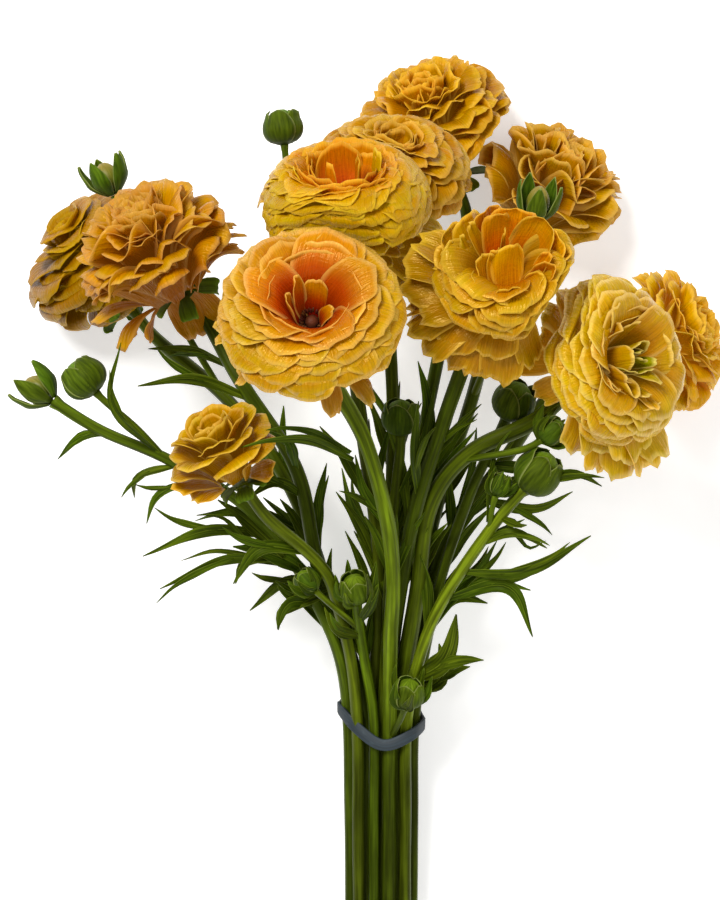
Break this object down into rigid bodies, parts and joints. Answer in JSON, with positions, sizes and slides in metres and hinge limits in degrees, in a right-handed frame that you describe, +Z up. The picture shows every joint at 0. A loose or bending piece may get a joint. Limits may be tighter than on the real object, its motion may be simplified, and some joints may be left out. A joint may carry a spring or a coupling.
{
  "type": "bunch of ranunculus flowers",
  "caption": "Tied bunch of yellow-orange ranunculus lying on its side: layered blooms, buds and narrow leaves on green stems, held by a rubber band.",
  "frame": {"origin": "middle of the bunch's outline, on the surface that it lies on", "axes": "+Y runs along the stems toward the blooms, +Z is up, away from the surface, and +X is across the bunch"},
  "size_m": [0.3034, 0.3902, 0.1839],
  "materials": {
    "green_stem": "satin, fleshy",
    "petal_01": "satin petal",
    "petal_02": "satin petal",
    "petal_03": "satin petal",
    "petal_04": "satin petal",
    "petal_05": "satin petal",
    "petal_06": "satin petal",
    "petal_07": "satin petal",
    "petal_08": "satin petal",
    "petal_09": "satin petal",
    "petal_10": "satin petal",
    "petal_11": "satin petal",
    "bud_petal": "satin petal",
    "centre_03": "soft",
    "centre_08": "soft",
    "centre_09": "soft",
    "centre_11": "soft",
    "band_rubber": "matte"
  },
  "bodies": {
    "root": {"bloom_01": "petal_01", "bloom_02": "petal_02", "bloom_03": "petal_03", "bloom_04": "petal_04", "bloom_05": "petal_05", "bloom_06": "petal_06", "bloom_07": "petal_07", "bloom_08": "petal_08", "bloom_09": "petal_09", "bloom_10": "petal_10", "bloom_11": "petal_11", "bud_petals_01_side": "bud_petal", "bud_petals_07_side": "bud_petal", "bud_petals_12": "bud_petal", "bud_stem_12": "green_stem", "bud_stem_13": "green_stem", "bud_stem_14": "green_stem", "bud_stem_15": "green_stem", "bud_stem_16": "green_stem", "centre_03": "centre_03", "centre_08": "centre_08", "centre_09": "centre_09", "centre_11": "centre_11", "flower_stem_01": "green_stem", "flower_stem_02": "green_stem", "flower_stem_03": "green_stem", "flower_stem_04": "green_stem", "flower_stem_05": "green_stem", "flower_stem_06": "green_stem", "flower_stem_07": "green_stem", "flower_stem_08": "green_stem", "flower_stem_09": "green_stem", "flower_stem_10": "green_stem", "flower_stem_11": "green_stem", "rubber_band": "band_rubber"}
  },
  "joints": []
}
